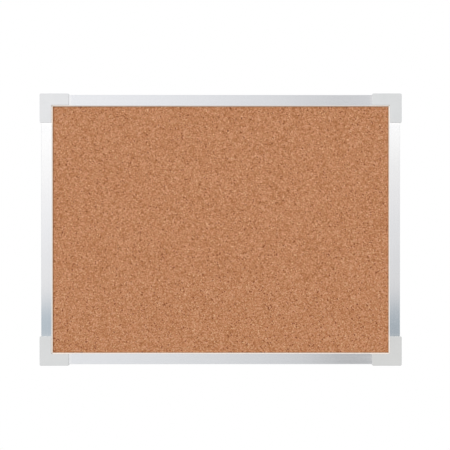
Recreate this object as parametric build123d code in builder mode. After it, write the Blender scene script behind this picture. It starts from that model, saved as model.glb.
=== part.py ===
from build123d import *

import os
from math import pi

# Cork bulletin board, wall mounted, landscape.
#
# Frame: origin in the wall plane, in the middle of the four wall-screw holes.
# +X to the viewer's right, +Z up, the cork faces -Y and the wall is y = 0.
#
# Build: a cork sheet, a fibreboard core and a kraft backing sheet are laminated
# into one panel. Four square-cut aluminium rails clip round its edges. A
# moulded base at each corner joins two rails with tongues pushed into their
# hollow chambers and held by self-tapping screws, and holds the hole for a wall
# screw. A snap-on cover hides that hole and the ends of the rails.
#
# A "height" is measured from the back of the rails towards the viewer. In a
# corner, places are measured in from the outside of the rails: "along" one
# rail, and "across" it.

os.makedirs("parts", exist_ok=True)

NEAR = 0.01  # tolerance for picking faces and edges by position

# ---------------------------------------------------------------- rail sizes
FRAME_W = 600.0  # outside of the aluminium rails
FRAME_H = 450.0

RAIL_W = 19.0  # outer edge to the inner edge of the lip
RAIL_D = 13.0  # back to front face
RAIL_WALL = 1.1
RAIL_EDGE_R = 0.5  # rounding of the outer edges
CHAMBER_W = 6.2  # hollow chamber that takes the corner tongues
CHAMBER_D = RAIL_D - 2 * RAIL_WALL
CHAMBER_MID = RAIL_WALL + CHAMBER_W / 2
SLOT_BOTTOM = RAIL_WALL + CHAMBER_W + RAIL_WALL  # bottom of the panel slot
BACK_LIP_W = 14.4  # outer edge to the inner edge of the back lip
BACK_LIP_T = 1.3
FACE_W = 17.3  # flat part of the front face
FACE_T = 1.2  # wall behind the front face
BEVEL_D = 1.3  # drop of the inner bevel
LIP_LOW = 10.0  # underside of the return lip, just clear of the cork
LIP_T = 1.3  # thickness of the return lip
LIP_CHAMFER = 0.9  # inside corner between front face and return lip
LIP_EDGE_R = 0.25
END_GAP = 0.05  # rail end to corner base, each side

# ---------------------------------------------------------------- panel sizes
BACKING_T = 0.4
CORE_T = 6.5
CORK_T = 1.5
PANEL_BACK = 1.45  # height of the panel's back
PANEL_EDGE = SLOT_BOTTOM + 0.4  # from the outside of the rails to the panel's edge

# ---------------------------------------------------------------- corner sizes
FLANGE_T = 2.0  # moulded flange behind the rails, which rests on the wall
FLANGE_CHAMFER = 0.35
OVERHANG = 2.5  # moulding outside the rails
ARM_END = 46.5  # end of each arm, from the outside of the rails
CORNER_R = 2.5
ARM_R = 2.0
FIT = 0.1  # clearance between the moulding and the rail
BLOCK_END = RAIL_W - END_GAP  # sides of the block that face the rail ends
POCKET = SLOT_BOTTOM + 0.2  # start of the pocket for the panel's corner

STEP_H = 6.0  # parting line between base and cover
PART_GAP = 0.2  # gap at the parting line
FRONT_GAP = 0.05  # from the rails' front to the thin wall's top and the cover's back
SKIRT_T = 1.2  # cover's skirt
SKIRT_GAP = 0.1
THIN = SKIRT_T + SKIRT_GAP  # set-back of the base's wall behind the skirt
SKIRT_INSIDE = 1.0  # inner limit of the space in the skirt

COVER_LOW = RAIL_D + FRONT_GAP  # height of the cover's back
COVER_RISE = 2.0  # cover's front above the rails' front
COVER_INNER = 17.2
COVER_INNER_R = 1.0
COVER_EDGE_R = 0.8

NOTCH_AT = 14.0  # middle of the notch, along the bottom edge
NOTCH_W = 9.0
NOTCH_TOP = 1.4  # above the parting line
NOTCH_DEPTH = SKIRT_T + 0.3

TONGUE_FIT = 0.15
TONGUE_LOW = RAIL_WALL + TONGUE_FIT
TONGUE_START = BLOCK_END - 0.5  # overlaps the block
TONGUE_END = 45.0
TONGUE_CHAMFER = 0.9
HOLLOW_AT = 27.8  # hollows in the tongues, one on each side of the screw
HOLLOW_L = 3.8
HOLLOW_W = 3.0
HOLLOW_LOW = 4.6

# wall screw, 4 mm, one in each corner
WALL_HOLE_AT = 4.0  # in from the outside of the rails, both ways
WALL_HOLE_R = 2.25
WALL_HEAD_R = 4.4
WALL_SEAT = 3.0  # height of the seat under the screw's head

# pegs that hold the cover
PEG_ALONG = 15.0
PEG_ACROSS = 4.2
PEG_R = 1.4
PEG_HOLE_R = 1.5
PEG_LOW = 6.0
PEG_HOLE_LOW = 4.5
PEG_CHAMFER = 0.5
PEG_SLIT = 0.5
PEG_SLIT_L = 3 * PEG_R
PEG_SLIT_D = 4.5

# self-tapping screw 2.9 x 9.5, countersunk, one in each tongue
SCREW_ALONG = 35.0
SCREW_ACROSS = CHAMBER_MID
SCREW_R = 1.45
SCREW_CORE_R = 1.1
SCREW_PITCH = 1.1
SCREW_TURNS = 6
GROOVE_START = 0.35  # bottom of the thread groove, from the start of a turn
GROOVE_END = 0.65
CREST_W = 0.1
SCREW_TOP = -0.1  # just in front of the wall
SCREW_HEAD_R = 2.75
SCREW_HEAD_T = 1.3
SCREW_NECK = 0.2  # plain length under the head
SCREW_LEN = 9.5
SCREW_TIP_R = 0.3  # blunt tip
RECESS_L = 3.0  # cross recess
RECESS_W = 0.75
RECESS_D = 1.0
RECESS_TAPER = 12
SCREW_HOLE_R = 1.6
SCREW_HOLE_DEPTH = RAIL_WALL + 0.5  # through the rail's back wall
PILOT_R = 1.48
PILOT_DEPTH = SCREW_LEN - 1.5
SINK_R = 2.95

SCREWS_X = (SCREW_ALONG, FRAME_W - SCREW_ALONG)  # along a horizontal rail
SCREWS_Y = (SCREW_ALONG, FRAME_H - SCREW_ALONG)  # along a vertical rail

# ---------------------------------------------------------------- planes
# Seen from behind the board, with its origin over the bottom-left outer corner
# of the rails as the viewer sees it: x runs to the viewer's left, z to the wall.
WALL_PLANE = Plane(
    origin=(-FRAME_W / 2, 0, -FRAME_H / 2), x_dir=(-1, 0, 0), z_dir=(0, 1, 0)
)

# section of a rail: x is the distance in from its outer edge, y the height
BOTTOM_SECTION = Plane(
    origin=(-FRAME_W / 2 + RAIL_W + END_GAP, -FLANGE_T, -FRAME_H / 2),
    x_dir=(0, 0, 1),
    z_dir=(1, 0, 0),
)
LEFT_SECTION = Plane(
    origin=(-FRAME_W / 2, -FLANGE_T, FRAME_H / 2 - RAIL_W - END_GAP),
    x_dir=(1, 0, 0),
    z_dir=(0, 0, -1),
)


def front_plane(height, x=0, z=0):
    """Plane seen from the front at a height: x right, y up, z to the viewer."""
    return Plane(origin=(x, -FLANGE_T - height, z), x_dir=(1, 0, 0), z_dir=(0, -1, 0))


def corner_plane(height):
    """Front plane with its origin over the bottom-left outer corner of the rails."""
    return front_plane(height, x=-FRAME_W / 2, z=-FRAME_H / 2)


# ---------------------------------------------------------------- helpers
def on_wall(places, depth=0):
    """Corner places (right, up) as WALL_PLANE places, at a depth from the wall."""
    return [(-x, y, -depth) for x, y in places]


def both_arms(along, across):
    """A place in the horizontal arm of a corner, and its twin in the vertical arm."""
    return [(along, across), (across, along)]


def arm_outline(outer, end, inner):
    """L-shaped outline with one arm to the right and one upwards."""
    return [
        (outer, outer),
        (end, outer),
        (end, inner),
        (inner, inner),
        (inner, end),
        (outer, end),
    ]


def round_at(sketch, place, radius):
    """Round the corner of the open sketch that is nearest to a place."""
    fillet(sketch.vertices().sort_by_distance((*place, 0))[0], radius=radius)


def round_outside(sketch):
    """Round the outer corners of a full-size L in the open sketch."""
    round_at(sketch, (-OVERHANG, -OVERHANG), CORNER_R)
    for place in both_arms(ARM_END, -OVERHANG):
        round_at(sketch, place, ARM_R)


def mirrored(part, about):
    with BuildPart() as copy:
        mirror(part, about=about)
    return copy.part


# ---------------------------------------------------------------- panel
def make_sheet(low, thickness):
    with BuildPart() as sheet:
        with BuildSketch(front_plane(low)):
            Rectangle(FRAME_W - 2 * PANEL_EDGE, FRAME_H - 2 * PANEL_EDGE)
        extrude(amount=thickness)
    return sheet.part


# ---------------------------------------------------------------- rails
# (distance in from the outer edge, height)
RAIL_OUTLINE = [
    (0, 0),
    (BACK_LIP_W, 0),
    (BACK_LIP_W, BACK_LIP_T),
    (SLOT_BOTTOM, BACK_LIP_T),
    (SLOT_BOTTOM, RAIL_D - FACE_T),
    (RAIL_W - LIP_T - LIP_CHAMFER, RAIL_D - FACE_T),
    (RAIL_W - LIP_T, RAIL_D - FACE_T - LIP_CHAMFER),
    (RAIL_W - LIP_T, LIP_LOW),
    (RAIL_W, LIP_LOW),
    (RAIL_W, RAIL_D - BEVEL_D),
    (FACE_W, RAIL_D),
    (0, RAIL_D),
]


def make_rail(section, frame_length, along, across, outside, screws):
    """Rail along one axis. outside is its outer edge's place on the across axis."""
    front = -FLANGE_T - RAIL_D
    with BuildPart() as rail:
        with BuildSketch(section) as profile:
            with BuildLine():
                Polyline(*RAIL_OUTLINE, close=True)
            make_face()
            fillet(profile.vertices().group_by(Axis.X)[0], radius=RAIL_EDGE_R)
            with Locations((CHAMBER_MID, RAIL_D / 2)):
                Rectangle(CHAMBER_W, CHAMBER_D, mode=Mode.SUBTRACT)
        extrude(amount=frame_length - 2 * (RAIL_W + END_GAP))
        # softened front lip edges, as the die leaves them
        lip_edges = (
            rail.edges()
            .filter_by(along)
            .filter_by_position(across, outside + FACE_W - NEAR, outside + RAIL_W + NEAR)
            .filter_by_position(Axis.Y, front - NEAR, front + BEVEL_D + NEAR)
        )
        fillet(lip_edges, radius=LIP_EDGE_R)
        with Locations(WALL_PLANE):
            with Locations(*on_wall(screws, FLANGE_T)):
                Hole(radius=SCREW_HOLE_R, depth=SCREW_HOLE_DEPTH)
    return rail.part


# ---------------------------------------------------------------- corner base
def make_corner_base():
    """Bottom-left base."""
    corner = (Align.MIN, Align.MIN)
    with BuildPart() as base:
        # flange that rests on the wall, then the outer wall below the parting line
        for inner, thickness in (
            (BACK_LIP_W, FLANGE_T - FIT),
            (-FIT, FLANGE_T + STEP_H),
        ):
            with BuildSketch(corner_plane(-FLANGE_T)) as outline:
                with BuildLine():
                    Polyline(*arm_outline(-OVERHANG, ARM_END, inner), close=True)
                make_face()
                round_outside(outline)
            extrude(amount=thickness)
        # thin wall inside the cover's skirt
        thin_outer = -OVERHANG + THIN
        with BuildSketch(corner_plane(STEP_H)) as outline:
            with BuildLine():
                Polyline(*arm_outline(thin_outer, ARM_END - THIN, -FIT), close=True)
            make_face()
            round_at(outline, (thin_outer, thin_outer), CORNER_R - THIN)
        extrude(amount=RAIL_D - FRONT_GAP - STEP_H)
        # block that fills the corner between the rail ends
        with BuildSketch(corner_plane(-FLANGE_T)):
            with Locations((-FIT, -FIT)):
                Rectangle(BLOCK_END + FIT, BLOCK_END + FIT, align=corner)
        extrude(amount=FLANGE_T + RAIL_D)

        # tongues for the chambers of the two rails
        tongue_l = TONGUE_END - TONGUE_START
        tongue_w = CHAMBER_W - 2 * TONGUE_FIT
        with BuildSketch(corner_plane(TONGUE_LOW)):
            with Locations((TONGUE_START, TONGUE_LOW)):
                Rectangle(tongue_l, tongue_w, align=corner)
            with Locations((TONGUE_LOW, TONGUE_START)):
                Rectangle(tongue_w, tongue_l, align=corner)
        extrude(amount=CHAMBER_D - 2 * TONGUE_FIT)
        # lead-in at each tongue's tip
        tips = base.faces().filter_by(
            lambda f: abs(f.center().X - (-FRAME_W / 2 + TONGUE_END)) < NEAR
            or abs(f.center().Z - (-FRAME_H / 2 + TONGUE_END)) < NEAR
        )
        chamfer(tips.edges(), length=TONGUE_CHAMFER)

        # The next three cuts are RAIL_W square, which reaches past the block.
        # pocket for the corner of the panel
        with BuildSketch(corner_plane(BACK_LIP_T)):
            with Locations((POCKET, POCKET)):
                Rectangle(RAIL_W, RAIL_W, align=corner)
        extrude(amount=LIP_LOW - BACK_LIP_T, mode=Mode.SUBTRACT)
        # softened edge round the outside of the flange
        back_edges = base.faces().sort_by(Axis.Y)[-1].outer_wire().edges()
        chamfer(
            back_edges.filter_by(
                lambda e: e.center().X < -FRAME_W / 2 - OVERHANG + CORNER_R
                or e.center().Z < -FRAME_H / 2 - OVERHANG + CORNER_R
            ),
            length=FLANGE_CHAMFER,
        )
        # open back, inside the back lip
        with BuildSketch(corner_plane(-FLANGE_T)):
            with Locations((BACK_LIP_W, BACK_LIP_W)):
                Rectangle(RAIL_W, RAIL_W, align=corner)
        extrude(amount=FLANGE_T + BACK_LIP_T, mode=Mode.SUBTRACT)
        # bevel round the inner corner, in line with the bevels of both rails
        for height, start in ((RAIL_D, FACE_W), (RAIL_D - BEVEL_D, RAIL_W)):
            with BuildSketch(corner_plane(height)):
                with Locations((start, start)):
                    Rectangle(RAIL_W, RAIL_W, align=corner)
        loft(mode=Mode.SUBTRACT)

        with Locations(corner_plane(RAIL_D)):
            # wall screw
            with Locations((WALL_HOLE_AT, WALL_HOLE_AT)):
                CounterBoreHole(
                    radius=WALL_HOLE_R,
                    counter_bore_radius=WALL_HEAD_R,
                    counter_bore_depth=RAIL_D - WALL_SEAT,
                    depth=RAIL_D + FLANGE_T,
                )
            # sockets for the cover's pegs
            with Locations(*both_arms(PEG_ALONG, PEG_ACROSS)):
                Hole(radius=PEG_HOLE_R, depth=RAIL_D - PEG_HOLE_LOW)
        # countersinks in the flange and pilot holes in the tongues
        screws = both_arms(SCREW_ALONG, SCREW_ACROSS)
        with Locations(WALL_PLANE):
            with Locations(*on_wall(screws)):
                CounterSinkHole(
                    radius=SCREW_HOLE_R,
                    counter_sink_radius=SINK_R,
                    depth=FLANGE_T,
                    counter_sink_angle=90,
                )
            with Locations(*on_wall(screws, FLANGE_T + RAIL_WALL)):
                Hole(radius=PILOT_R, depth=PILOT_DEPTH)
        # hollows that keep the tongues' walls even, open to the front
        hollows = (HOLLOW_AT, 2 * SCREW_ALONG - HOLLOW_AT)
        with BuildSketch(corner_plane(HOLLOW_LOW)):
            with Locations(*[(along, SCREW_ACROSS) for along in hollows]):
                Rectangle(HOLLOW_L, HOLLOW_W)
            with Locations(*[(SCREW_ACROSS, along) for along in hollows]):
                Rectangle(HOLLOW_W, HOLLOW_L)
        extrude(amount=RAIL_D, mode=Mode.SUBTRACT)
    return base.part


# ---------------------------------------------------------------- corner cover
def make_corner_cover():
    """Bottom-left cover."""
    with BuildPart() as cover:
        # front plate
        with BuildSketch(corner_plane(COVER_LOW)) as outline:
            with BuildLine():
                Polyline(*arm_outline(-OVERHANG, ARM_END, COVER_INNER), close=True)
            make_face()
            round_outside(outline)
            for place in both_arms(ARM_END, COVER_INNER):
                round_at(outline, place, COVER_INNER_R)
        extrude(amount=COVER_RISE - FRONT_GAP)
        front_face = cover.faces().sort_by(Axis.Y)[0]
        fillet(front_face.edges(), radius=COVER_EDGE_R)

        # skirt over the thin wall of the base, closed at the end of each arm
        inside_outer = -OVERHANG + SKIRT_T
        inside_end = ARM_END - SKIRT_T
        with BuildSketch(corner_plane(STEP_H + PART_GAP)) as outline:
            with BuildLine():
                Polyline(*arm_outline(-OVERHANG, ARM_END, -FIT), close=True)
            make_face()
            round_outside(outline)
            with BuildSketch(mode=Mode.SUBTRACT) as inside:
                with BuildLine():
                    Polyline(
                        *arm_outline(inside_outer, inside_end, SKIRT_INSIDE), close=True
                    )
                make_face()
                round_at(inside, (inside_outer, inside_outer), CORNER_R - SKIRT_T)
        extrude(amount=COVER_LOW - STEP_H - PART_GAP)
        # notch for a coin or a blade, at the parting line
        with BuildSketch(corner_plane(STEP_H)):
            with Locations((NOTCH_AT, -OVERHANG)):
                Rectangle(NOTCH_W, 2 * NOTCH_DEPTH)
        extrude(amount=NOTCH_TOP, mode=Mode.SUBTRACT)

        # pegs, slit so that they grip their sockets
        with BuildSketch(corner_plane(PEG_LOW)):
            with Locations(*both_arms(PEG_ALONG, PEG_ACROSS)):
                Circle(PEG_R)
        extrude(amount=COVER_LOW - PEG_LOW)
        peg_tips = cover.faces().filter_by(
            lambda f: abs(f.center().Y - (-FLANGE_T - PEG_LOW)) < NEAR
            and abs(f.area - pi * PEG_R**2) < 0.1
        )
        chamfer(peg_tips.edges(), length=PEG_CHAMFER)
        with BuildSketch(corner_plane(PEG_LOW)):
            with Locations((PEG_ALONG, PEG_ACROSS)):
                Rectangle(PEG_SLIT, PEG_SLIT_L)
            with Locations((PEG_ACROSS, PEG_ALONG)):
                Rectangle(PEG_SLIT_L, PEG_SLIT)
        extrude(amount=PEG_SLIT_D, mode=Mode.SUBTRACT)
    return cover.part


# ---------------------------------------------------------------- rail screws
def screw_outline():
    """Half section of a screw, (radius, z), from the head down to the tip."""
    thread_start = SCREW_TOP - SCREW_HEAD_T - SCREW_NECK
    outline = [
        (0, SCREW_TOP),
        (SCREW_HEAD_R, SCREW_TOP),
        (SCREW_R, SCREW_TOP - SCREW_HEAD_T),
        (SCREW_R, thread_start),
    ]
    for turn in range(SCREW_TURNS):
        z = thread_start - turn * SCREW_PITCH
        outline += [
            (SCREW_CORE_R, z - GROOVE_START),
            (SCREW_CORE_R, z - GROOVE_END),
            (SCREW_R, z - SCREW_PITCH + CREST_W),
            (SCREW_R, z - SCREW_PITCH),
        ]
    outline += [(SCREW_TIP_R, SCREW_TOP - SCREW_LEN), (0, SCREW_TOP - SCREW_LEN)]
    return outline


def make_screw():
    """One screw on the Z axis, head up, its thread simplified to rings."""
    with BuildPart() as screw:
        with BuildSketch(Plane.XZ):
            with BuildLine():
                Polyline(*screw_outline(), close=True)
            make_face()
        revolve(axis=Axis.Z)
        with BuildSketch(Plane.XY.offset(SCREW_TOP)):
            Rectangle(RECESS_L, RECESS_W)
            Rectangle(RECESS_W, RECESS_L)
        extrude(amount=-RECESS_D, taper=RECESS_TAPER, mode=Mode.SUBTRACT)
    return screw.part


def make_rail_screws():
    """All eight screws, heads to the wall."""
    screw = make_screw()
    places = [(x, y) for y in (SCREW_ACROSS, FRAME_H - SCREW_ACROSS) for x in SCREWS_X]
    places += [(x, y) for x in (SCREW_ACROSS, FRAME_W - SCREW_ACROSS) for y in SCREWS_Y]
    with BuildPart() as screws:
        with Locations(WALL_PLANE):
            with Locations(*on_wall(places)):
                add(screw)
    return screws.part


# ---------------------------------------------------------------- build
parts = {
    "backing_sheet": make_sheet(PANEL_BACK, BACKING_T),
    "core_board": make_sheet(PANEL_BACK + BACKING_T, CORE_T),
    "cork_sheet": make_sheet(PANEL_BACK + BACKING_T + CORE_T, CORK_T),
    "bottom_rail": make_rail(
        section=BOTTOM_SECTION,
        frame_length=FRAME_W,
        along=Axis.X,
        across=Axis.Z,
        outside=-FRAME_H / 2,
        screws=[(x, SCREW_ACROSS) for x in SCREWS_X],
    ),
    "left_rail": make_rail(
        section=LEFT_SECTION,
        frame_length=FRAME_H,
        along=Axis.Z,
        across=Axis.X,
        outside=-FRAME_W / 2,
        screws=[(SCREW_ACROSS, y) for y in SCREWS_Y],
    ),
    "rail_screws": make_rail_screws(),
}
parts["top_rail"] = mirrored(parts["bottom_rail"], Plane.XY)
parts["right_rail"] = mirrored(parts["left_rail"], Plane.YZ)

for name, bottom_left in (
    ("corner_base", make_corner_base()),
    ("corner_cover", make_corner_cover()),
):
    top_left = mirrored(bottom_left, Plane.XY)
    parts[f"{name}_bottom_left"] = bottom_left
    parts[f"{name}_bottom_right"] = mirrored(bottom_left, Plane.YZ)
    parts[f"{name}_top_left"] = top_left
    parts[f"{name}_top_right"] = mirrored(top_left, Plane.YZ)

# ---------------------------------------------------------------- write
for name, part in parts.items():
    part.label = name
    export_step(part, f"parts/{name}.step")
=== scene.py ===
# A framed cork notice board: a cork sheet on softboard with kraft paper behind, held in
# aluminium rails with plastic corners. It stands upright, centred on X and Z: X runs to the
# right, Z up, and its front faces -Y. Lengths are in metres.
import math

import bmesh
import bpy
import numpy as np
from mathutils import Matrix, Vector


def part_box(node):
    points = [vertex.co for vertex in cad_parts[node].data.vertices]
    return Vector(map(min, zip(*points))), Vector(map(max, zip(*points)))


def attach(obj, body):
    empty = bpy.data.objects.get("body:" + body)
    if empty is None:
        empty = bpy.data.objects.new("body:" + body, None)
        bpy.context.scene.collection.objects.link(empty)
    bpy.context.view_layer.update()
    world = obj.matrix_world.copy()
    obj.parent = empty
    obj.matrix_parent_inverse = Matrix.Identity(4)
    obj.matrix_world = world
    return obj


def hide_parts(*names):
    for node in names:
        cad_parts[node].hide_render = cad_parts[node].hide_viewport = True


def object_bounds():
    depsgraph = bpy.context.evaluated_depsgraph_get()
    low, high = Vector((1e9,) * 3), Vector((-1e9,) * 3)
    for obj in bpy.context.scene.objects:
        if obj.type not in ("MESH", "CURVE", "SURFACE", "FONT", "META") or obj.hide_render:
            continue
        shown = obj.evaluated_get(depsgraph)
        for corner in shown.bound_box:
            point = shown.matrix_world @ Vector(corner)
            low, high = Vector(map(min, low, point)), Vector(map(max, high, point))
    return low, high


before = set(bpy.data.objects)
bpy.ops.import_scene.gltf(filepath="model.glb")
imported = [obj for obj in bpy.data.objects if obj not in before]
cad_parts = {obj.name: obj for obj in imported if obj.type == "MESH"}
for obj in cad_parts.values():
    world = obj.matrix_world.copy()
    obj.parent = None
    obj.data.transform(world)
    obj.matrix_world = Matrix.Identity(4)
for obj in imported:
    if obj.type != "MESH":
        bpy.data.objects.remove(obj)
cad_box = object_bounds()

scene = bpy.context.scene

# ------------------------------------------------------------------ sizes
sheet_lo, sheet_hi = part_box("cork_sheet")
paper_lo, paper_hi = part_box("backing_sheet")
rails_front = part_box("left_rail")[0].y
open_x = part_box("right_rail")[0].x  # half the opening, to the inner edge of the lips
open_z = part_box("top_rail")[0].z
CORK_UNDER_LIP = 0.0016  # how far each detailed face runs on past the opening
PAPER_UNDER_LIP = 0.0030
PAINTED_LIGHT_FADE = 0.0010  # width over which the painted light near the cork dies away


# ------------------------------------------------------------------ shader nodes
def grey(level):
    return (level, level, level)


def tint(*rgb):
    """A display colour, 0 to 255, as linear values."""
    shares = [c / 255.0 for c in rgb]
    return tuple(c / 12.92 if c <= 0.04045 else ((c + 0.055) / 1.055) ** 2.4 for c in shares)


class Shader:
    """The node tree of a material or world, with short ways to add nodes to it."""

    def __init__(self, owner, output="OutputMaterial"):
        owner.use_nodes = True
        self.owner = owner
        self.tree = owner.node_tree
        self.tree.nodes.clear()
        self.surface = self.node(output).inputs["Surface"]

    def node(self, kind, **props):
        made = self.tree.nodes.new("ShaderNode" + kind)
        for key, value in props.items():
            setattr(made, key, value)
        return made

    def put(self, socket, value):
        """Links a socket to the input, or sets the input's value."""
        if isinstance(value, bpy.types.NodeSocket):
            self.tree.links.new(value, socket)
        elif isinstance(value, (tuple, list)) and socket.type == "RGBA":
            socket.default_value = (*value[:3], 1.0)
        else:
            socket.default_value = value

    def math(self, op, a, b=0.0, c=0.0):
        made = self.node("Math", operation=op)
        for socket, value in zip(made.inputs, (a, b, c)):
            self.put(socket, value)
        return made.outputs[0]

    def times(self, a, b):
        return self.math("MULTIPLY", a, b)

    def plus(self, base, *parts):
        """base, plus value * amount for each (value, amount)."""
        for value, amount in parts:
            base = self.math("MULTIPLY_ADD", value, amount, base)
        return base

    def vary(self, base, *parts):
        """base, plus (noise - 0.5) * amount for each (noise, amount)."""
        for noise, amount in parts:
            base = self.plus(base, (self.math("SUBTRACT", noise, 0.5), amount))
        return base

    def vector(self, op, a, b=(0.0, 0.0, 0.0), c=None):
        made = self.node("VectorMath", operation=op)
        self.put(made.inputs[0], a)
        self.put(made.inputs[1], b)
        if c is not None:
            self.put(made.inputs[2], c)
        return made.outputs["Value" if op in ("DOT_PRODUCT", "LENGTH") else "Vector"]

    def split(self, vector):
        """The X, Y and Z of a vector or colour."""
        made = self.node("SeparateXYZ")
        self.put(made.inputs[0], vector)
        return made.outputs

    def position(self, scale=(1.0, 1.0, 1.0), shift=(0.0, 0.0, 0.0), turn=(0.0, 0.0, 0.0)):
        """Object position in metres, turned, times scale, plus shift."""
        made = self.node("Mapping")
        self.put(made.inputs["Vector"], self.node("TexCoord").outputs["Object"])
        self.put(made.inputs["Scale"], scale)
        self.put(made.inputs["Location"], shift)
        self.put(made.inputs["Rotation"], turn)
        return made.outputs[0]

    def past_opening(self, at):
        """How far a point lies outside the frame's opening, negative inside it."""
        place = self.split(at)
        reach_x = self.math("SUBTRACT", self.math("ABSOLUTE", place["X"]), open_x)
        reach_z = self.math("SUBTRACT", self.math("ABSOLUTE", place["Z"]), open_z)
        return self.math("MAXIMUM", reach_x, reach_z)

    def noise(self, vector, scale=1.0, detail=2.0, rough=0.5, warp=0.0, colored=False):
        made = self.node("TexNoise", noise_dimensions="3D")
        self.put(made.inputs["Vector"], vector)
        self.put(made.inputs["Scale"], scale)
        self.put(made.inputs["Detail"], detail)
        self.put(made.inputs["Roughness"], rough)
        self.put(made.inputs["Distortion"], warp)
        return made.outputs[1 if colored else 0]

    def voronoi(self, vector, scale=1.0, feature="F1", output="Distance"):
        made = self.node("TexVoronoi", feature=feature, voronoi_dimensions="3D")
        self.put(made.inputs["Vector"], vector)
        self.put(made.inputs["Scale"], scale)
        return made.outputs[output]

    def cell_edge(self, vector, scale=1.0):
        """Distance to the nearest edge between cells."""
        return self.voronoi(vector, scale, "DISTANCE_TO_EDGE")

    def range(self, value, span, to=(0.0, 1.0), smooth=False):
        """Maps span onto to, clamped at both ends."""
        made = self.node("MapRange", interpolation_type="SMOOTHSTEP" if smooth else "LINEAR")
        for socket, number in zip(made.inputs, (value, *span, *to)):
            self.put(socket, number)
        return made.outputs[0]

    def ramp(self, value, stops):
        """A colour ramp through (position, colour) stops."""
        made = self.node("ValToRGB")
        elements = made.color_ramp.elements
        for end, (where, color) in enumerate((stops[0], stops[-1])):
            elements[end].position = where
            elements[end].color = (*color, 1.0)
        for where, color in stops[1:-1]:
            elements.new(where).color = (*color, 1.0)
        self.put(made.inputs[0], value)
        return made.outputs[0]

    def mix(self, factor, a, b, blend="MIX"):
        made = self.node("Mix", data_type="RGBA", blend_type=blend)
        self.put(made.inputs[0], factor)
        self.put(made.inputs[6], a)
        self.put(made.inputs[7], b)
        return made.outputs[2]

    def filtered(self, color, by):
        return self.mix(1.0, color, by, "MULTIPLY")

    def cover(self, color, mask, amount, over):
        """Lays the colour over on color where mask is 1, at strength amount."""
        return self.mix(self.times(mask, amount), color, over)


class Material(Shader):
    """A Principled material."""

    INPUTS = {
        "color": "Base Color",
        "metallic": "Metallic",
        "roughness": "Roughness",
        "normal": "Normal",
        "ior": "IOR",
        "specular": "Specular IOR Level",
        "anisotropic": "Anisotropic",
        "tangent": "Tangent",
    }

    def __init__(self, name):
        super().__init__(bpy.data.materials.new(name))
        self.bsdf = self.node("BsdfPrincipled")
        self.put(self.surface, self.bsdf.outputs[0])

    def finish(self, **values):
        """Sets the Principled inputs and returns the material."""
        for key, value in values.items():
            self.put(self.bsdf.inputs[self.INPUTS[key]], value)
        return self.owner

    def bump(self, height, distance, strength, normal=None):
        made = self.node("Bump")
        self.put(made.inputs["Strength"], strength)
        self.put(made.inputs["Distance"], distance)
        self.put(made.inputs["Height"], height)
        if normal is not None:
            self.put(made.inputs["Normal"], normal)
        return made.outputs[0]

    def soft_edges(self, radius, samples=6):
        """A normal that rounds sharp edges off over radius, and a mask that is 1 on them."""
        bevel = self.node("Bevel", samples=samples)
        self.put(bevel.inputs["Radius"], radius)
        flat = self.node("NewGeometry").outputs["Normal"]
        same = self.vector("DOT_PRODUCT", bevel.outputs[0], flat)
        return bevel.outputs[0], self.range(same, span=(0.995, 0.86))

    def paint_light_near_cork(self, color, painted_light, full):
        """Paints light onto what lies next to the opening: fully out to full, then fading away.
        """
        reach = self.past_opening(self.position())
        near = self.range(reach, span=(full, full + PAINTED_LIGHT_FADE), to=(1.0, 0.0), smooth=True)
        return self.mix(near, color, self.filtered(color, painted_light))


# ------------------------------------------------------------------ materials
def aluminium(name, along):
    """Satin anodised extrusion. along is the rail's axis: 0 for X, 2 for Z."""

    def grain(run, across):
        return tuple(run if axis == along else across for axis in range(3))

    cover_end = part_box("corner_cover_top_right")[0][along]
    mat = Material(name)
    fine = mat.noise(mat.position(grain(1.6, 900.0)), scale=4.0, detail=3.0, rough=0.6)
    bands = mat.noise(mat.position(grain(0.7, 405.0)))
    cloud = mat.noise(mat.position(), scale=34.0, detail=3.0, rough=0.55)
    patches = mat.noise(mat.position(shift=(3.1, 1.7, 5.2)), scale=210.0)
    # a few fine handling scratches, run at a slant to the rail
    slant = 0.22 if along == 0 else -0.18
    marks = mat.cell_edge(mat.position(grain(24.0, 260.0), turn=(0.0, slant, 0.0)))
    marks = mat.range(marks, span=(0.0, 0.035), to=(1.0, 0.0))
    marks = mat.times(marks, mat.range(cloud, span=(0.56, 0.66)))
    rounded, edge = mat.soft_edges(radius=0.00022)

    tone = mat.vary(0.5, (fine, 0.07), (bands, 0.12), (cloud, 0.07))
    color = mat.ramp(
        tone,
        [
            (0.38, (0.800, 0.822, 0.852)),
            (0.50, (0.868, 0.882, 0.902)),
            (0.62, (0.925, 0.930, 0.938)),
        ],
    )
    color = mat.cover(color, marks, amount=0.16, over=grey(0.98))
    # a painted highlight on the rail, brightest at each corner cover's end and fading over 6 mm
    from_middle = mat.math("ABSOLUTE", mat.split(mat.position())[along])
    rub_and_highlight = mat.range(from_middle, span=(cover_end - 0.0062, cover_end), smooth=True)
    rub_and_highlight = mat.times(rub_and_highlight, mat.range(bands, span=(0.25, 0.75), to=(0.6, 1.0)))
    color = mat.cover(color, rub_and_highlight, amount=0.75, over=grey(0.985))
    color = mat.cover(color, edge, amount=0.45, over=grey(0.97))
    # a painted reflection of the cork, which turns the rails peach next to the opening
    color = mat.paint_light_near_cork(color, painted_light=(1.050, 0.920, 0.800), full=0.0010)
    rough = mat.vary(0.150, (patches, 0.03), (bands, 0.04))
    rough = mat.plus(rough, (marks, 0.06), (edge, -0.03))
    # the brushed sheen spreads across the rail
    normal = mat.node("NewGeometry").outputs["Normal"]
    side = mat.vector("CROSS_PRODUCT", normal, grain(1.0, 0.0))
    height = mat.plus(mat.times(fine, 0.35), (bands, 0.5), (marks, -0.6))
    return mat.finish(
        color=color,
        metallic=1.0,
        roughness=rough,
        anisotropic=1.0,
        tangent=side,
        normal=mat.bump(height, distance=0.000004, strength=0.6, normal=rounded),
    )


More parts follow.
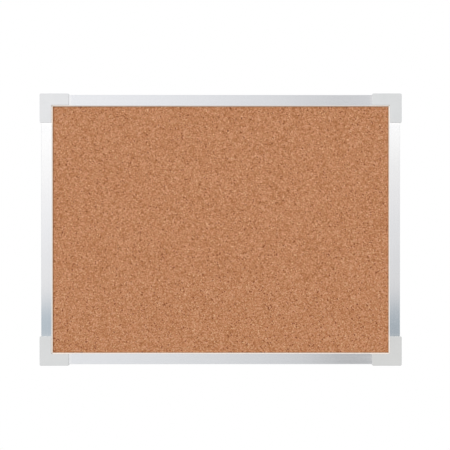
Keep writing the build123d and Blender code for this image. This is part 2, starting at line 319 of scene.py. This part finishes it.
def plastic(name, base, seed, gloss, painted_light, full):
    """Light grey moulded plastic with a fine spark-eroded texture. gloss is its roughness."""
    mat = Material(name)
    at = mat.position(shift=(seed, seed * 1.7, seed * 0.6))
    cloud = mat.noise(at, scale=26.0, detail=3.0, rough=0.55)
    mottle = mat.noise(at, scale=310.0)
    grain = mat.noise(at, scale=2300.0, rough=0.6)
    pits = mat.voronoi(at, scale=1500.0)
    flow = mat.noise(mat.position((30.0, 140.0, 90.0), (seed, 0.0, 2.0)), warp=1.2)
    rounded, edge = mat.soft_edges(radius=0.00030)

    tone = mat.vary(0.5, (cloud, 0.55), (mottle, 0.30), (grain, 0.22), (flow, 0.25))
    dark = tuple(c * 0.955 for c in base)
    light = tuple(min(1.0, c * 1.035) for c in base)
    color = mat.ramp(tone, [(0.25, dark), (0.5, base), (0.75, light)])
    # small dark specks and faint rub marks
    specks = mat.range(mat.voronoi(at, scale=160.0), span=(0.0, 0.055), to=(1.0, 0.0))
    color = mat.cover(color, specks, amount=0.22, over=tuple(c * 0.55 for c in base))
    rub_and_highlight = mat.cell_edge(mat.position((60.0, 60.0, 420.0), (seed, 4.0, seed)))
    rub_and_highlight = mat.range(rub_and_highlight, span=(0.0, 0.03), to=(1.0, 0.0))
    rub_and_highlight = mat.times(rub_and_highlight, mat.range(cloud, span=(0.55, 0.68)))
    color = mat.cover(color, rub_and_highlight, amount=0.10, over=grey(0.93))
    color = mat.cover(color, edge, amount=0.16, over=grey(0.90))
    # painted light next to the opening: the cork's colour reflected, or a brightening
    color = mat.paint_light_near_cork(color, painted_light, full)
    rough = mat.vary(gloss, (mottle, 0.10), (cloud, 0.12))
    rough = mat.plus(rough, (edge, -0.10), (rub_and_highlight, -0.10))
    height = mat.plus(mat.times(pits, 0.5), (grain, 0.7), (mottle, 0.35))
    return mat.finish(
        color=color,
        roughness=rough,
        ior=1.5,
        normal=mat.bump(height, distance=0.000018, strength=0.55, normal=rounded),
    )


def cork_material():
    """Agglomerated cork: a tone for each granule, finer grain, painted shade in the seams
    between granules, and a few dark bark granules.
    """
    mat = Material("cork")
    at = mat.position()
    granules, crumbs = 560.0, 1150.0  # cells per metre

    def warped(scale, size):
        """Position, pushed about by up to about half of size."""
        wobble = mat.vector("SUBTRACT", mat.noise(at, scale, colored=True), grey(0.5))
        return mat.vector("MULTIPLY_ADD", wobble, grey(size), at)

    bent = warped(scale=520.0, size=0.0022)
    own, hue, kind = mat.split(mat.voronoi(bent, granules, output="Color"))
    seam = mat.cell_edge(bent, granules)
    finer = warped(scale=900.0, size=0.0012)
    crumb = mat.split(mat.voronoi(finer, crumbs, output="Color"))
    fibre = mat.noise(bent, scale=2700.0, detail=3.0, rough=0.65)
    stain = mat.noise(at, scale=15.0, detail=3.0)

    tone = mat.vary(0.5, (own, 0.37), (crumb[0], 0.26), (fibre, 0.38), (stain, 0.02))
    # painted shade in the crevices between granules
    seam_shade = mat.range(seam, span=(0.0, 0.10), to=(1.0, 0.0), smooth=True)
    seam_shade = mat.times(seam_shade, mat.range(fibre, span=(0.40, 0.62)))
    color = mat.ramp(
        mat.plus(tone, (seam_shade, -0.22)),
        [
            (0.00, tint(101, 52, 25)),
            (0.14, tint(136, 80, 45)),
            (0.32, tint(168, 111, 70)),
            (0.50, tint(189, 132, 94)),
            (0.68, tint(203, 150, 117)),
            (0.86, tint(221, 174, 145)),
            (1.00, tint(237, 203, 183)),
        ],
    )
    # some granules are redder, some greener
    warm = mat.filtered(color, by=(1.079, 1.008, 0.999))
    cool = mat.filtered(color, by=(1.009, 1.044, 0.974))
    color = mat.mix(hue, warm, cool)
    # a few granules are dark bark or pale, and a few crumbs are dark flakes
    inside = mat.range(seam, span=(0.02, 0.10))
    for pick, span, amount, over in (
        (kind, (0.960, 0.962), 0.94, tint(112, 50, 26)),
        (crumb[1], (0.942, 0.944), 0.80, tint(120, 58, 29)),
        (kind, (0.026, 0.024), 0.50, tint(246, 204, 160)),
    ):
        chosen = mat.times(mat.range(pick, span), inside)
        color = mat.cover(color, chosen, amount, over)
    # a painted shadow darkens the cork in the corner where the sheet runs under the frame's lips
    lip_shadow_start = mat.plus(-0.0005, (fibre, -0.0006))
    lip_shadow = mat.range(mat.past_opening(at), span=(lip_shadow_start, -0.0001))
    color = mat.cover(color, lip_shadow, amount=0.62, over=tint(88, 74, 62))
    rough = mat.plus(mat.vary(0.80, (fibre, 0.16)), (seam_shade, 0.08))
    height = mat.range(seam, span=(0.0, 0.22), to=(0.0, 0.7), smooth=True)
    height = mat.plus(height, (fibre, 0.5), (own, 0.3), (crumb[2], 0.2))
    return mat.finish(
        color=color,
        roughness=rough,
        specular=0.22,
        normal=mat.bump(height, distance=0.00009, strength=0.7),
    )


def kraft_paper():
    """Brown paper with fibres along X and Z, and small dark shives."""
    mat = Material("kraft_paper")
    cloud = mat.noise(mat.position(), scale=42.0, detail=4.0, rough=0.6)
    floc = mat.noise(mat.position((520.0, 520.0, 300.0)), detail=3.0, rough=0.6, warp=0.8)
    fibre_z = mat.noise(mat.position((2600.0, 2600.0, 260.0)), warp=0.6)
    fibre_x = mat.noise(mat.position((340.0, 2600.0, 2900.0), (4.0, 0.0, 7.0)))
    wires = mat.noise(mat.position((2.0, 2.0, 520.0)), detail=1.0)
    tone = mat.vary(
        0.5, (cloud, 0.38), (floc, 0.36), (fibre_z, 0.30), (fibre_x, 0.24), (wires, 0.12)
    )
    color = mat.ramp(
        tone,
        [
            (0.22, (0.262, 0.152, 0.077)),
            (0.50, (0.368, 0.232, 0.128)),
            (0.78, (0.468, 0.318, 0.190)),
        ],
    )
    shives = mat.voronoi(mat.position((240.0, 240.0, 90.0)))
    shives = mat.range(shives, span=(0.03, 0.075), to=(1.0, 0.0))
    color = mat.cover(color, shives, amount=0.5, over=(0.14, 0.072, 0.036))
    height = mat.plus(mat.times(fibre_x, 0.5), (fibre_z, 0.5), (floc, 0.6))
    return mat.finish(
        color=color,
        roughness=mat.vary(0.78, (floc, 0.16)),
        specular=0.3,
        normal=mat.bump(height, distance=0.00006, strength=0.6),
    )


def softboard():
    """Coarse brown fibreboard."""
    mat = Material("softboard")
    cloud = mat.noise(mat.position(), scale=60.0, detail=3.0, rough=0.6)
    fibre = mat.noise(mat.position((300.0, 1900.0, 1900.0)), detail=3.0, rough=0.6, warp=1.0)
    cross = mat.noise(mat.position((1900.0, 1900.0, 300.0), (2.0, 5.0, 1.0)))
    color = mat.ramp(
        mat.vary(0.5, (cloud, 0.4), (fibre, 0.7), (cross, 0.5)),
        [
            (0.2, (0.145, 0.083, 0.044)),
            (0.5, (0.290, 0.188, 0.105)),
            (0.8, (0.440, 0.310, 0.190)),
        ],
    )
    return mat.finish(
        color=color,
        roughness=mat.range(fibre, span=(0.2, 0.8), to=(0.80, 0.96)),
        specular=0.2,
        normal=mat.bump(mat.math("ADD", fibre, cross), distance=0.0002, strength=0.8),
    )


def zinc():
    """Zinc-plated steel, slightly yellowed in patches."""
    mat = Material("zinc_steel")
    at = mat.position()
    cloud = mat.noise(at, scale=420.0, detail=3.0, rough=0.6)
    fine = mat.noise(at, scale=4200.0)
    rounded, edge = mat.soft_edges(radius=0.00012, samples=4)
    tone = mat.vary(cloud, (fine, 0.4))
    color = mat.ramp(
        tone,
        [
            (0.3, (0.340, 0.350, 0.362)),
            (0.5, (0.450, 0.455, 0.448)),
            (0.7, (0.545, 0.525, 0.462)),
        ],
    )
    color = mat.cover(color, edge, amount=0.4, over=grey(0.70))
    return mat.finish(
        color=color,
        metallic=1.0,
        roughness=mat.range(tone, span=(0.2, 0.8), to=(0.24, 0.44)),
        normal=mat.bump(fine, distance=0.000008, strength=0.5, normal=rounded),
    )


def dress(node, material):
    """Gives a CAD piece one material in all its slots."""
    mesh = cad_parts[node].data
    if not mesh.materials:
        mesh.materials.append(material)
    for i in range(len(mesh.materials)):
        mesh.materials[i] = material


# ------------------------------------------------------------------ meshes
def add_sheet(name, mesh, material, stands_for):
    mesh.materials.append(material)
    sheet = bpy.data.objects.new(name, mesh)
    scene.collection.objects.link(sheet)
    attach(sheet, "frame")
    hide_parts(stands_for)


def start_sheet(name, points, faces):
    """A mesh and a bmesh of it with smooth faces."""
    mesh = bpy.data.meshes.new(name)
    mesh.from_pydata(points.tolist(), [], faces.tolist())
    bm = bmesh.new()
    bm.from_mesh(mesh)
    for face in bm.faces:
        face.smooth = True
    return mesh, bm


def boundary_loop(bm):
    """The open edge of a sheet, as one ordered ring of vertices."""
    step = {}
    for edge in bm.edges:
        if len(edge.link_loops) == 1:
            loop = edge.link_loops[0]
            step[loop.vert] = loop.link_loop_next.vert
    start = next(iter(step))
    ring, vert = [start], step[start]
    while vert is not start:
        ring.append(vert)
        vert = step[vert]
    return ring


def close_sheet(mesh, bm, half, inner, face_y, far_y):
    """Carries the open edge out to the panel's edge, down its sides and across its far face,
    then writes the mesh. half and inner are the (x, z) half sizes of panel and sheet."""
    ring = boundary_loop(bm)

    def carried_out(y):
        return [
            bm.verts.new((v.co.x * half[0] / inner[0], y, v.co.z * half[1] / inner[1]))
            for v in ring
        ]

    rim, far_rim = carried_out(face_y), carried_out(far_y)
    centre = bm.verts.new((0.0, far_y, 0.0))
    pairs = [(i, (i + 1) % len(ring)) for i in range(len(ring))]
    sides = []
    for upper, lower in ((ring, rim), (rim, far_rim)):
        for i, j in pairs:
            sides.append(bm.faces.new((upper[j], upper[i], lower[i], lower[j])))
    for i, j in pairs:
        sides.append(bm.faces.new((far_rim[j], far_rim[i], centre)))
    for face in sides:
        face.smooth = False
    for i, j in pairs:
        bm.edges.get((ring[i], ring[j])).smooth = False
    bm.to_mesh(mesh)
    bm.free()
    mesh.update()
    return mesh


def cork_mesh():
    """The cork sheet, its front in relief: a low rise for each granule, and a few open pores."""
    pitch = 0.00172  # between grid points
    row_step = 0.866  # row spacing of a triangular grid, in pitches
    inner = (open_x + CORK_UNDER_LIP, open_z + CORK_UNDER_LIP)
    rng = np.random.default_rng(41)
    rows = int(2 * inner[1] / (pitch * row_step)) + 5
    cols = int(2 * inner[0] / pitch) + 5
    row, col = np.mgrid[0:rows, 0:cols]
    x = (col + 0.5 * (row % 2) - (cols - 0.5) / 2) * pitch
    z = (row - (rows - 1) / 2) * pitch * row_step
    # each point strays up to 0.30 of a pitch
    turn = rng.uniform(0, 2 * math.pi, x.shape)
    stray = pitch * 0.30 * np.sqrt(rng.uniform(0, 1, x.shape))
    x, z = x + stray * np.cos(turn), z + stray * np.sin(turn)
    # rises spread by 0.036 mm, and pores 0.10 to 0.22 mm deep at 2.2 % of the points
    height = np.clip(rng.normal(0.0, 0.000036, x.shape), -0.00009, 0.00009)
    pore = rng.uniform(0, 1, x.shape) < 0.022
    height = np.where(pore, -rng.uniform(0.00010, 0.00022, x.shape), height)
    index = np.arange(rows * cols).reshape(rows, cols)
    low_left, low_right = index[:-1, :-1], index[:-1, 1:]
    high_left, high_right = index[1:, :-1], index[1:, 1:]
    even = (np.arange(rows - 1) % 2 == 0)[:, None] & np.ones(low_left.shape, bool)
    # the quads' diagonals change direction from row to row
    triangles = (
        (even, low_left, low_right, high_left),
        (even, high_left, low_right, high_right),
        (~even, low_left, low_right, high_right),
        (~even, low_left, high_right, high_left),
    )
    faces = [np.stack([p[which] for p in corners], 1) for which, *corners in triangles]
    points = np.stack([x.ravel(), sheet_lo.y - height.ravel(), z.ravel()], 1)
    mesh, bm = start_sheet("cork_surface", points, np.concatenate(faces))
    # trim the sheet to a rectangle
    for axis, limit in ((0, inner[0]), (2, inner[1])):
        for sign in (1, -1):
            normal, at = [0.0] * 3, [0.0] * 3
            normal[axis], at[axis] = sign, sign * limit
            bmesh.ops.bisect_plane(
                bm,
                geom=bm.verts[:] + bm.edges[:] + bm.faces[:],
                dist=0.00003,
                plane_co=at,
                plane_no=normal,
                clear_outer=True,
            )
    bmesh.ops.triangulate(bm, faces=[face for face in bm.faces if len(face.verts) > 3])
    return close_sheet(mesh, bm, (sheet_hi.x, sheet_hi.z), inner, sheet_lo.y, sheet_hi.y)


def paper_mesh():
    """The backing sheet, very slightly cockled. Its outer face looks along +Y."""
    points_x, points_z = 132, 98
    longest, shortest = 0.16, 0.035  # wavelengths
    depth = 0.00013  # of the deepest cockle
    fade_width = 0.02  # the cockles flatten out this near the edge
    inner = (open_x + PAPER_UNDER_LIP, open_z + PAPER_UNDER_LIP)
    rng = np.random.default_rng(8)
    x, z = np.meshgrid(
        np.linspace(-inner[0], inner[0], points_x), np.linspace(-inner[1], inner[1], points_z)
    )
    height = np.zeros_like(x)
    for _ in range(26):
        wave = rng.uniform(shortest, longest)
        way = rng.normal(0, 1, 2)
        way /= np.linalg.norm(way)
        phase = rng.uniform(0, 2 * math.pi)
        across = (x * way[1] - z * way[0]) / (wave * 2.2) * 2 * math.pi
        bend = 0.35 * np.sin(across + phase)
        ahead = (x * way[0] + z * way[1]) / wave * 2 * math.pi
        height += wave / longest * np.sin(ahead + phase + bend)
    height = height / np.abs(height).max() * depth
    fade = np.minimum((inner[0] - np.abs(x)) / fade_width, (inner[1] - np.abs(z)) / fade_width)
    height *= np.clip(fade, 0, 1)
    points = np.stack([x.ravel(), (paper_hi.y + height).ravel(), z.ravel()], 1)
    index = np.arange(points_x * points_z).reshape(points_z, points_x)
    corners = (index[:-1, :-1], index[1:, :-1], index[1:, 1:], index[:-1, 1:])
    quads = np.stack([corner.ravel() for corner in corners], 1)
    mesh, bm = start_sheet("paper_surface", points, quads)
    return close_sheet(mesh, bm, (paper_hi.x, paper_hi.z), inner, paper_hi.y, paper_lo.y)


# ------------------------------------------------------------------ the board
add_sheet("cork_surface", cork_mesh(), cork_material(), "cork_sheet")
add_sheet("backing_paper", paper_mesh(), kraft_paper(), "backing_sheet")
dress("core_board", softboard())
dress("rail_screws", zinc())
for name, along, rails in (
    ("level", 0, ("top_rail", "bottom_rail")),
    ("upright", 2, ("left_rail", "right_rail")),
):
    metal = aluminium("anodised_aluminium_" + name, along)
    for rail in rails:
        dress(rail, metal)

# each corner's grey is painted light and shade: lightest at the top left, darkest at the bottom
# right, for light from the upper left
corner_lit_greys = {
    "top_left": (0.750, 0.755, 0.767),
    "top_right": (0.692, 0.703, 0.706),
    "bottom_left": (0.670, 0.679, 0.680),
    "bottom_right": (0.636, 0.639, 0.631),
}
for number, (corner, lit_grey) in enumerate(corner_lit_greys.items()):
    # each cover gets a painted reflection of the cork's colour next to the opening
    cover = plastic(
        "grey_plastic_" + corner,
        lit_grey,
        seed=1.3 + number,
        gloss=0.44,
        painted_light=(0.960, 0.862, 0.780),
        full=0.0010,
    )
    dress("corner_cover_" + corner, cover)
    # between the lips' ends the base shows as a 2 mm square in the opening's corner, in the
    # cover's shade, and is painted lighter there
    corner_base = plastic(
        "grey_plastic_base_" + corner,
        tuple(c * 0.96 for c in lit_grey),
        seed=7.7 + number,
        gloss=0.50,
        painted_light=(1.32, 1.26, 1.18),
        full=0.0019,
    )
    dress("corner_base_" + corner, corner_base)

# ------------------------------------------------------------------ camera and lights
CAMERA_X, CAMERA_Z = 0.00735592, 0.00760669
CAMERA_DISTANCE = 1.7762875  # in front of the rails

lens = bpy.data.cameras.new("camera")
lens.lens, lens.sensor_width = 85.0, 36.0
lens.clip_start, lens.clip_end = 0.05, 60.0
camera = bpy.data.objects.new("camera", lens)
scene.collection.objects.link(camera)
camera.location = (CAMERA_X, rails_front - CAMERA_DISTANCE, CAMERA_Z)
camera.rotation_euler = (math.pi / 2, 0.0, 0.0)
scene.camera = camera


def sun_light(name, toward, spread, power):
    """A soft distant light: toward points to it, and spread is its angle in radians."""
    data = bpy.data.lights.new(name, "SUN")
    data.angle, data.energy = spread, power
    lamp = bpy.data.objects.new(name, data)
    scene.collection.objects.link(lamp)
    lamp.location = Vector(toward) * 4.0
    lamp.rotation_euler = Vector(toward).to_track_quat("Z", "Y").to_euler()


# a large, distant soft key from the upper left, and a weaker one behind for views of the back
sun_light("key", toward=(-0.52, -0.742, 0.422), spread=0.40, power=1.14)
sun_light("back", toward=(0.46, 0.78, 0.43), spread=0.50, power=0.85)

# ------------------------------------------------------------------ world
ROOM_LIGHT = grey(0.74)  # what matt surfaces receive from room and floor alike

# Tables of (direction component from -1 to 1, grey level or colour).
# up and down, as mirrored by the front:
UPWARD = [
    (-1.0, 1.00), (-0.40, 0.98), (-0.20, (0.82, 0.80, 0.80)), (-0.13, (0.665, 0.665, 0.67)),
    (-0.096, (0.42, 0.49, 0.54)), (-0.085, (0.39, 0.47, 0.53)), (-0.070, (0.73, 0.73, 0.735)),
    (-0.060, (0.87, 0.845, 0.83)), (-0.035, (0.83, 0.82, 0.82)), (0.0, (0.90, 0.89, 0.89)),
    (0.03, (0.96, 0.94, 0.93)), (0.078, (1.08, 1.06, 1.03)), (0.16, (0.70, 0.70, 0.74)),
    (0.22, (0.72, 0.73, 0.77)), (0.32, (0.92, 0.92, 0.93)), (1.0, 1.00),
]
# left to right:
SIDEWAYS = [
    (-1.0, 0.99), (-0.40, 1.04), (-0.20, 1.17), (-0.13, 1.13), (-0.05, 1.06), (0.03, 0.97),
    (0.07, 0.90), (0.115, 0.81), (0.17, 0.95), (0.25, 1.03), (1.0, 1.00),
]
# front to back: a dim gap, a bright tent round the sides, a dimmer room behind
AROUND = [
    (-1.0, 0.72), (-0.86, 0.66), (-0.66, 0.64), (-0.54, 0.97), (-0.42, 1.05), (-0.10, 1.06),
    (0.08, 0.92), (0.26, (0.60, 0.61, 0.62)), (0.55, (0.47, 0.48, 0.50)),
    (0.80, (0.60, 0.61, 0.62)), (0.93, 0.86), (1.0, 0.93),
]
# up and down, behind the board:
SLOPE = [(-1.0, 0.80), (-0.25, 0.84), (0.10, 0.97), (0.5, 1.10), (1.0, 1.16)]
# soft patches: centre x, half width, centre z, half height, gain (negative is darker)
PATCHES = [
    (0.25, 0.13, 0.115, 0.06, 0.82),
    (0.125, 0.06, -0.13, 0.08, -0.74),
    (-0.27, 0.13, 0.125, 0.05, 0.70),
]

world = bpy.data.worlds.new("studio")
scene.world = world
sky = Shader(world, "OutputWorld")
generated = sky.node("TexCoord").outputs["Generated"]
way_x, way_y, way_z = sky.split(sky.vector("NORMALIZE", generated))


def toward_ramp(share, table):
    """A ramp through a table of directions. share is the direction mapped to 0 to 1."""
    return sky.ramp(
        share, [((d + 1) / 2, grey(c) if isinstance(c, float) else c) for d, c in table]
    )


def patch_side(way, centre, half):
    """1 at the centre, falling softly to 0 at half to each side."""
    off = sky.math("ABSOLUTE", sky.math("SUBTRACT", way, centre))
    return sky.range(off, span=(0.0, half), to=(1.0, 0.0), smooth=True)


rise = sky.range(way_z, span=(-1.0, 1.0))
run = sky.range(way_x, span=(-1.0, 1.0))
room = sky.filtered(toward_ramp(rise, UPWARD), toward_ramp(run, SIDEWAYS))
for centre_x, half_x, centre_z, half_z, gain in PATCHES:
    inside = sky.times(patch_side(way_x, centre_x, half_x), patch_side(way_z, centre_z, half_z))
    room = sky.filtered(room, by=sky.plus(1.0, (inside, gain)))

# further from the camera's axis
around = toward_ramp(sky.range(way_y, span=(-1.0, 1.0)), AROUND)
slope = toward_ramp(rise, SLOPE)
around = sky.filtered(around, by=sky.range(way_z, span=(-0.90, -0.30), to=(0.80, 1.0)))
behind = sky.range(way_y, span=(-0.05, 0.25), smooth=True)
around = sky.mix(behind, around, sky.filtered(around, by=slope))
tent = sky.range(way_y, span=(-0.935, -0.86), smooth=True)
# straight behind the board, the same soft bands as in front, so the rails' backs read as metal
rear = sky.range(way_y, span=(0.90, 0.965), smooth=True)
around = sky.mix(rear, around, sky.filtered(room, by=grey(0.97)))
room = sky.mix(tent, room, around)
# only reflections see the room: matt surfaces get even light, the camera plain white
path = sky.node("LightPath").outputs
seen = sky.mix(path["Is Glossy Ray"], ROOM_LIGHT, room)
seen = sky.mix(path["Is Camera Ray"], seen, grey(1.0))
background = sky.node("Background")
sky.put(background.inputs["Color"], seen)
sky.put(sky.surface, background.outputs[0])


# ------------------------------------------------------------------ floor
def floor_material():
    """Pale and plain, and white where seen at a low angle or far out."""
    mat = Shader(bpy.data.materials.new("floor"))
    diffuse = mat.node("BsdfDiffuse")
    speck = mat.noise(mat.position(), scale=9.0, detail=3.0)
    pale = mat.ramp(speck, [(0.3, grey(0.80)), (0.7, grey(0.84))])
    mat.put(diffuse.inputs["Color"], pale)
    glow = mat.node("Emission")
    ray = mat.node("LightPath").outputs
    # the board's own surfaces get the same light from the floor as from the room
    glow_color = mat.mix(ray["Is Diffuse Ray"], grey(1.0), ROOM_LIGHT)
    mat.put(glow.inputs["Color"], glow_color)
    geometry = mat.node("NewGeometry").outputs
    tilt = mat.vector("DOT_PRODUCT", geometry["Incoming"], geometry["Normal"])
    tilt = mat.math("ABSOLUTE", tilt)
    away = mat.vector("LENGTH", mat.vector("MULTIPLY", geometry["Position"], (1.0, 1.0, 0.0)))
    low_view, far_out = mat.range(tilt, span=(0.42, 0.24)), mat.range(away, span=(0.9, 3.2))
    share = mat.math("MAXIMUM", low_view, far_out)
    share = mat.times(share, ray["Is Camera Ray"])
    share = mat.math("MAXIMUM", share, ray["Is Diffuse Ray"])
    both = mat.node("MixShader")
    for socket, value in zip(both.inputs, (share, diffuse.outputs[0], glow.outputs[0])):
        mat.put(socket, value)
    mat.put(mat.surface, both.outputs[0])
    mat.owner.cycles.emission_sampling = "NONE"
    return mat.owner


FLOOR_HALF = 14.0
lowest = cad_box[0].z
floor_mesh = bpy.data.meshes.new("floor")
floor_corners = [
    (x * FLOOR_HALF, y * FLOOR_HALF, lowest) for x, y in ((-1, -1), (1, -1), (1, 1), (-1, 1))
]
floor_mesh.from_pydata(floor_corners, [], [(0, 1, 2, 3)])
floor = bpy.data.objects.new("floor", floor_mesh)
scene.collection.objects.link(floor)
floor_mesh.materials.append(floor_material())
floor.visible_glossy = False

scene.view_settings.view_transform = "Standard"
scene.view_settings.look = "None"
scene.view_settings.exposure = 0.0
scene.view_settings.gamma = 1.0
